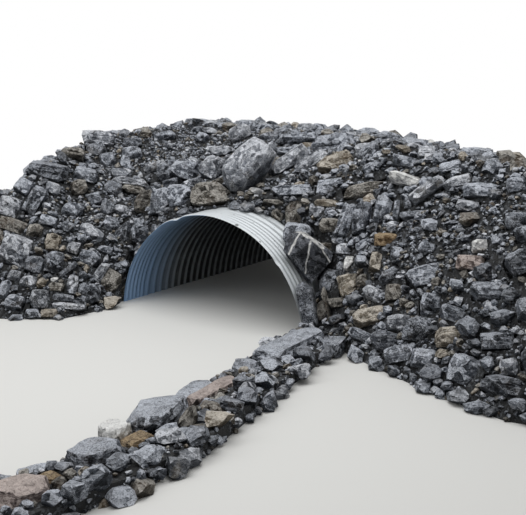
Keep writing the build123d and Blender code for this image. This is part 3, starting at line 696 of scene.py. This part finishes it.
def bitShapes(count, grid, seed, cuts):
    # small broken pieces about 1 across: random planes round a middle
    directions, faces = grid
    around, _ = cubeGrid(1)
    shapes = []
    for k in range(count):
        chance = np.random.default_rng(seed + k)
        normals = np.concatenate([unit(chance.normal(0, 1, (cuts, 3))), around])
        planes = chance.uniform(*bitLook["planes"], cuts)
        heights = np.concatenate([planes, np.full(len(around), bitLook["box"])])
        points, owner, _ = breakRock(directions, normals, heights, bitLook["ridge"])
        squashed = points * (1.0, chance.uniform(*bitLook["deep"]), chance.uniform(*bitLook["thick"]))
        shapes.append((squashed, owner))
    return np.stack([s[0] for s in shapes]), np.stack([s[1] for s in shapes]), faces


def scatterBits(names, look, shapes, seed):
    # many small pieces in one mesh for each name, from left to right: each shape times its size, laid on
    # the skin with its thin way up, and along the wall as far as they are aligned
    chance = np.random.default_rng(seed)
    shape, owners, faces = shapes
    points, facing, room = openGround(look, seed + 1)
    size = chance.uniform(0, 1, len(points)) ** look["skew"] * (look["most"] - look["least"]) + look["least"]
    size = np.minimum(size, np.maximum(look["fits"] * room, look["least"]))
    if look["apart"]:
        kept = []
        for k in np.argsort(-size):
            gap = np.linalg.norm(points[kept] - points[k], axis=1)
            if (gap > look["apart"] * (size[k] + size[kept]) / 2).all():
                kept.append(k)
        points, facing, size = points[kept], facing[kept], size[kept]
    count = len(points)
    lift = unit(facing * look["lean"] + np.array([0, 0, 1]) + chance.normal(0, look["tumble"], (count, 3)))
    across = unit(np.cross(lift, facing * look["aligned"] + unit(chance.normal(0, 1, (count, 3)))))
    turned = np.stack([across, np.cross(lift, across), lift], axis=1)
    pick = chance.integers(0, len(shape), count)
    local = shape[pick] * size[:, None, None]
    # on the level crest they lie deeper, so that the top line stays low
    level = np.clip((facing[:, 2] - 0.75) / 0.2, 0, 1) * (points[:, 2] > 1.0)
    rise = size * (0.5 - look["sunk"] - 0.35 * level) * 0.6
    world = np.einsum("nvi,nij->nvj", local, turned) + (points + facing * rise[:, None])[:, None, :]
    inBox = (world.max(axis=1) < cadBox[1]).all(axis=1)
    inBox &= (world.min(axis=1)[:, :2] > cadBox[0][:2]).all(axis=1)
    order = np.argsort(points[:, 0])
    order = order[inBox[order]]
    kinds = list(look["mix"])
    weights = np.array([look["mix"][key] for key in kinds], dtype=float)
    kind = chance.choice([kindNames.index(key) for key in kinds], count, p=weights / weights.sum())
    tone = chance.uniform(look["tones"][0], look["tones"][1], count)
    shift = chance.uniform(-20, 20, (count, 1, 3))
    for name, chosen in zip(names, np.array_split(order, len(names))):
        start = np.arange(len(chosen)) * shape.shape[1]
        points = clearOfPipe(world[chosen].reshape(-1, 3))
        triangles = (faces[None] + start[:, None, None]).reshape(-1, 3)
        laid.append(points[triangles])
        faceNumber = owners[pick[chosen]][:, faces[:, 0]] * 3571 + start[:, None] * 613
        rockPiece(name, [{
            "points": points,
            "faces": triangles,
            "kind": np.repeat(kind[chosen], len(faces)),
            "rockSpace": (local[chosen] + shift[chosen]).reshape(-1, 3),
            "rockTone": np.repeat(tone[chosen], shape.shape[1]),
            "edgeWear": np.zeros(len(points)),
            "faceTone": (faceNumber % 89 / 89.0).ravel(),
        }], 14)
        print(name, len(chosen), "pieces,", len(triangles), "triangles")


smallMix = {"slate": 8, "paleSlate": 3, "brownSchist": 1.6, "tanStone": 0.3, "quartz": 0.12}

# stones up to as long as a forearm between the large ones, hardly any out among the chips
wedgeLook = {"points": 9000, "behind": 0.3, "inChips": 0.04, "outside": 1.0, "least": 0.11,
             "most": 0.28, "skew": 1.0, "fits": 2.2, "apart": 0.62, "sunk": 0.18, "lean": 0.5, "tumble": 0.25,
             "aligned": 2.0, "tones": (0.1, 0.9), "mix": smallMix}
# rubble as large as a fist
rubbleLook = {"points": 11000, "behind": 0.3, "inChips": 0.35, "outside": 0.8, "least": 0.06,
              "most": 0.13, "skew": 1.4, "fits": 3.0, "apart": 0.6, "sunk": 0.2, "lean": 0.9, "tumble": 0.4,
              "aligned": 0.5, "tones": (0.05, 1.0), "mix": smallMix}
# chips
chipLook = {"points": 60000, "behind": 0.2, "inChips": 1.0, "outside": 0.45, "least": 0.028,
            "most": 0.075, "skew": 1.4, "fits": 9.0, "apart": 0, "sunk": 0.1, "lean": 1.0, "tumble": 0.6,
            "aligned": 0, "tones": (0.0, 1.0), "mix": smallMix}

scatterBits(["rock_wedges"], wedgeLook, bitShapes(30, ringGrid(5, 8), 8900, 18), 31)
scatterBits(["rock_rubble"], rubbleLook, bitShapes(24, ringGrid(3, 6), 9000, 12), 41)
scatterBits(["rock_chips_left", "rock_chips_right"], chipLook, bitShapes(24, ringGrid(2, 5), 9100, 9), 51)


# The pipe

# the sheet, as in the CAD part: fine corrugations at both ends, one between, wide ones along the barrel
sheetLook = {"bore": 2.7, "wall": 0.0035, "fine": (0.068, 0.013, 5), "blend": (0.096, 0.020, 1),
             "wide": (0.125, 0.026, 27), "order": ["fine", "blend", "wide", "blend", "fine"],
             "stepsAlong": 6, "stepsRound": 112}
# knocks in the lip: angle in degrees from the right side, depth, width as an angle, how far back it reaches
lipKnocks = [(109.5, 0.022, 2.6, 0.10), (119.0, -0.010, 5.0, 0.09), (43.3, 0.014, 1.6, 0.05),
             (75.0, 0.006, 9.0, 0.16)]


def corrugatedSheet(look, knocks):
    # r(y) = bore / 2 + depth * (1 - cos(2 pi y / pitch)) / 2, swept round the axis down to the ground:
    # angle = low + a * (pi - 2 low) with sin(low) = drop / r, so that both edges end on z = 0
    along, inner, y = [], [], 0.0
    for kind in look["order"]:
        pitch, depth, count = look[kind]
        t = np.arange(look["stepsAlong"] * count) / look["stepsAlong"]
        along.append(y + t * pitch)
        inner.append(look["bore"] / 2 + depth * (1 - np.cos(2 * math.pi * t)) / 2)
        y += pitch * count
    along = np.append(np.concatenate(along), y)
    inner = np.append(np.concatenate(inner), look["bore"] / 2)
    y = np.concatenate([along, along[::-1]])
    r = np.concatenate([inner, (inner + look["wall"])[::-1]])
    a = np.linspace(0, 1, look["stepsRound"] + 1)
    low = np.arcsin(boreLook["drop"] / r)[:, None]
    angle = low + a * (math.pi - 2 * low)
    bent = np.zeros_like(angle)
    for place, depth, width, back in knocks:
        bump = depth * np.exp(-((np.degrees(angle) - place) / width) ** 2)
        bent += bump * np.exp(-(y[:, None] / back) ** 2)
    radius = np.minimum(r[:, None] - bent, look["bore"] / 2 + look["wide"][1] + look["wall"])
    points = np.stack([radius * np.cos(angle), np.repeat(y[:, None], len(a), axis=1),
                       radius * np.sin(angle) - boreLook["drop"]], axis=-1)
    points[:, :, 2] = np.maximum(points[:, :, 2], 0.0)
    rows, columns = angle.shape
    cell = np.arange(rows * columns).reshape(rows, columns)
    after = np.roll(cell, -1, axis=0)
    quads = np.stack([cell[:, :-1], after[:, :-1], after[:, 1:], cell[:, 1:]], axis=-1).reshape(-1, 4)
    half = rows // 2
    ends = []
    for column, turn in ((0, 1), (-1, -1)):
        front, back = cell[:half, column], cell[half:, column][::-1]
        strip = np.stack([front[:-1], back[:-1], back[1:], front[1:]], axis=-1)
        ends.append(strip[:, ::turn])
    return points.reshape(-1, 3), np.concatenate([quads] + ends)


# zinc-coated sheet: spangled grey that mirrors the light softly, bright and clean outside, with painted shade
# inside: a dark dull film in the corrugations' hollows, up under the crown and deeper in, and a painted
# reflection of blue sky on the left side's first corrugations. Pairs are the least and greatest distance from
# the axis, height or distance from the mouth between which a coat sets in; marks on the lip are by angle and
# width
pipeLook = {"zinc": "#b0b6ba", "bright": "#c3c8cb", "shadeFilm": "#090b0d", "paintedSkyBlue": "#9fc0e6", "fleck": "#2a2b2c",
            "spangle": 0.014, "rough": 0.46, "metal": 0.35, "marks": [(71.6, 0.030), (56.4, 0.020)],
            "skyBlueEnds": (0.35, 1.1), "hollow": (1.353, 1.366), "hollowIn": (0.3, 1.3), "deep": (0.4, 3.2),
            "crown": (0.30, 1.10), "crownIn": (0.05, 0.4), "lipEnds": (0.01, 0.10), "streaks": (9, 2, 9),
            "fleckScale": 26.0, "fleckShare": (0.66, 0.69)}


def zincMaterial(look):
    material, tree, shader = newMaterial("galvanised_sheet")
    place = addNode(tree, "TexCoord").outputs["Object"]
    x, y, z = addNode(tree, "SeparateXYZ", {}, {0: place}).outputs
    height = maths(tree, "ADD", z, boreLook["drop"])
    square = maths(tree, "MULTIPLY_ADD", height, height, maths(tree, "MULTIPLY", x, x))
    radius = maths(tree, "SQRT", square)
    facing = addNode(tree, "SeparateXYZ", {}, {0: addNode(tree, "NewGeometry").outputs["Normal"]}).outputs
    outside = maths(tree, "MULTIPLY_ADD", facing[0], x, maths(tree, "MULTIPLY", facing[2], height))
    outside = maths(tree, "GREATER_THAN", outside, 0.0)
    spangle = addNode(tree, "TexVoronoi", {"Scale": 1 / look["spangle"]}, {"Vector": place})
    shade = addNode(tree, "SeparateColor", {}, {0: spangle.outputs["Color"]}).outputs[0]
    streak = noise(tree, vectorMaths(tree, "MULTIPLY", place, look["streaks"]), 1.0, 5.0, 0.6)
    zinc = mixColours(tree, maths(tree, "MULTIPLY", shade, 0.3), linear(look["zinc"]), linear(look["bright"]))
    # painted reflection: the left side's first corrugations are painted the blue of the sky that they mirror
    paintedSkyBlue = maths(tree, "SUBTRACT", 1.0, spread(tree, y, *look["skyBlueEnds"]))
    paintedSkyBlue = maths(tree, "MULTIPLY", paintedSkyBlue, maths(tree, "LESS_THAN", x, 0.0))
    zinc = mixColours(tree, paintedSkyBlue, zinc, linear(look["paintedSkyBlue"]))
    clean = mixColours(tree, outside, zinc, linear(look["bright"]))
    # painted shade, laid on as a dark dull film: thickest in the hollows and up under the crown, and
    # everywhere further in
    hollow = spread(tree, radius, *look["hollow"])
    depth = spread(tree, y, *look["deep"])
    crown = spread(tree, z, *look["crown"])
    crown = maths(tree, "MULTIPLY", crown, spread(tree, y, *look["crownIn"]))
    shadeFilm = maths(tree, "MULTIPLY_ADD", spread(tree, y, *look["hollowIn"]), 0.75, 0.1)
    shadeFilm = maths(tree, "MULTIPLY", hollow, shadeFilm)
    shadeFilm = maths(tree, "MULTIPLY_ADD", depth, 0.6, shadeFilm)
    shadeFilm = maths(tree, "MULTIPLY_ADD", crown, 0.45, shadeFilm, clamp=True)
    shadeFilm = maths(tree, "MULTIPLY", shadeFilm, maths(tree, "MULTIPLY_ADD", streak, 0.5, 0.75), clamp=True)
    shadeFilm = maths(tree, "MULTIPLY", shadeFilm, spread(tree, y, *look["lipEnds"]))
    shadeFilm = maths(tree, "MULTIPLY", shadeFilm, maths(tree, "SUBTRACT", 1.0, outside))
    colour = mixColours(tree, shadeFilm, clean, linear(look["shadeFilm"]))
    fleck = noise(tree, place, look["fleckScale"], 3.0, 0.7)
    mark = spread(tree, fleck, *look["fleckShare"])
    lip = sheetLook["bore"] / 2
    for angle, across in look["marks"]:
        turned = math.radians(angle)
        spot = (lip * math.cos(turned), 0.02, lip * math.sin(turned) - boreLook["drop"])
        gap = vectorMaths(tree, "DISTANCE", place, spot)
        gap = maths(tree, "MULTIPLY_ADD", fleck, across, gap)
        inMark = maths(tree, "SUBTRACT", 1.0, spread(tree, gap, across, across * 1.4))
        mark = maths(tree, "MAXIMUM", mark, inMark)
    colour = mixColours(tree, maths(tree, "MULTIPLY", mark, 0.8), colour, linear(look["fleck"]))
    tree.links.new(colour, shader.inputs["Base Color"])
    bare = maths(tree, "SUBTRACT", 1.0, shadeFilm)
    tree.links.new(maths(tree, "MULTIPLY", bare, look["metal"]), shader.inputs["Metallic"])
    tree.links.new(maths(tree, "MULTIPLY_ADD", shadeFilm, 0.35, look["rough"]), shader.inputs["Roughness"])
    return material


sheetMesh = newMesh("pipe_sheet", *corrugatedSheet(sheetLook, lipKnocks))
sheetMesh.materials.append(zincMaterial(pipeLook))
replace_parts(addPiece("pipe_sheet", sheetMesh, 50), "culvert_pipe")
print("pipe swept:", len(sheetMesh.polygons) * 2, "triangles")


# Floor, backdrop and lamps

# the floor fades into the white backdrop well away from the stone, and sends less light up than it shows
stageLook = {"floor": "#dededb", "bounce": "#63635f", "reach": 60.0, "fadeFrom": 6.0, "fadeTo": 12.0}
lightLook = {"sky": 0.42,
             "lamp_top": {"place": (0.5, -1.5, 9.0), "aim": (0.3, 0.6, 0), "size": 9.0, "watts": 570},
             "lamp_key": {"place": (-3.5, -9.0, 6.5), "aim": (0.3, 0.5, 0.8), "size": 5.0, "watts": 130}}

corners = [(-stageLook["reach"], -stageLook["reach"], 0), (stageLook["reach"], -stageLook["reach"], 0),
           (stageLook["reach"], stageLook["reach"], 0), (-stageLook["reach"], stageLook["reach"], 0)]
floorMesh = bpy.data.meshes.new("floor")
floorMesh.from_pydata(corners, [], [(0, 1, 2, 3)])
floor = bpy.data.objects.new("floor", floorMesh)
bpy.context.scene.collection.objects.link(floor)


def seenDirectly(tree):
    # 1 for what the camera sees, straight or in a mirror or through glass
    rays = addNode(tree, "LightPath").outputs
    mirrored = maths(tree, "MAXIMUM", rays["Is Glossy Ray"], rays["Is Transmission Ray"])
    return maths(tree, "MAXIMUM", rays["Is Camera Ray"], mirrored)


floorMaterial, floorTree, floorShader = newMaterial("matt_floor")
seen = seenDirectly(floorTree)
floorTree.links.new(mixColours(floorTree, seen, linear(stageLook["bounce"]), linear(stageLook["floor"])),
                    floorShader.inputs["Base Color"])
floorShader.inputs["Roughness"].default_value = 0.9
ground = addNode(floorTree, "TexCoord").outputs["Object"]
away = vectorMaths(floorTree, "LENGTH", ground)
fade = spread(floorTree, away, stageLook["fadeFrom"], stageLook["fadeTo"])
fade = maths(floorTree, "MULTIPLY", seen, fade)
white = addNode(floorTree, "Emission", {"Color": (1, 1, 1, 1), "Strength": 1.0}).outputs[0]
blend = addNode(floorTree, "MixShader", {}, {0: fade, 1: floorShader.outputs[0], 2: white})
floorTree.links.new(blend.outputs[0], floorTree.nodes["Material Output"].inputs["Surface"])
floorMesh.materials.append(floorMaterial)

world = bpy.data.worlds.new("studio")
bpy.context.scene.world = world
world.use_nodes = True
worldTree = world.node_tree
worldTree.nodes.clear()
strength = maths(worldTree, "MULTIPLY_ADD", seenDirectly(worldTree), 1.0 - lightLook["sky"], lightLook["sky"])
backdrop = addNode(worldTree, "Background", {"Color": (1, 1, 1, 1)}, {"Strength": strength})
addNode(worldTree, "OutputWorld", {}, {"Surface": backdrop.outputs[0]})

for name in ("lamp_top", "lamp_key"):
    look = lightLook[name]
    lampData = bpy.data.lights.new(name, "AREA")
    lampData.size = look["size"]
    lampData.energy = look["watts"]
    lamp = bpy.data.objects.new(name, lampData)
    lamp.location = look["place"]
    toLamp = np.array(look["place"]) - np.array(look["aim"])
    lamp.rotation_euler = (math.acos(toLamp[2] / np.linalg.norm(toLamp)), 0,
                           math.atan2(toLamp[1], toLamp[0]) + math.pi / 2)
    bpy.context.scene.collection.objects.link(lamp)
print("stage and lights set")

bpy.context.view_layer.update()
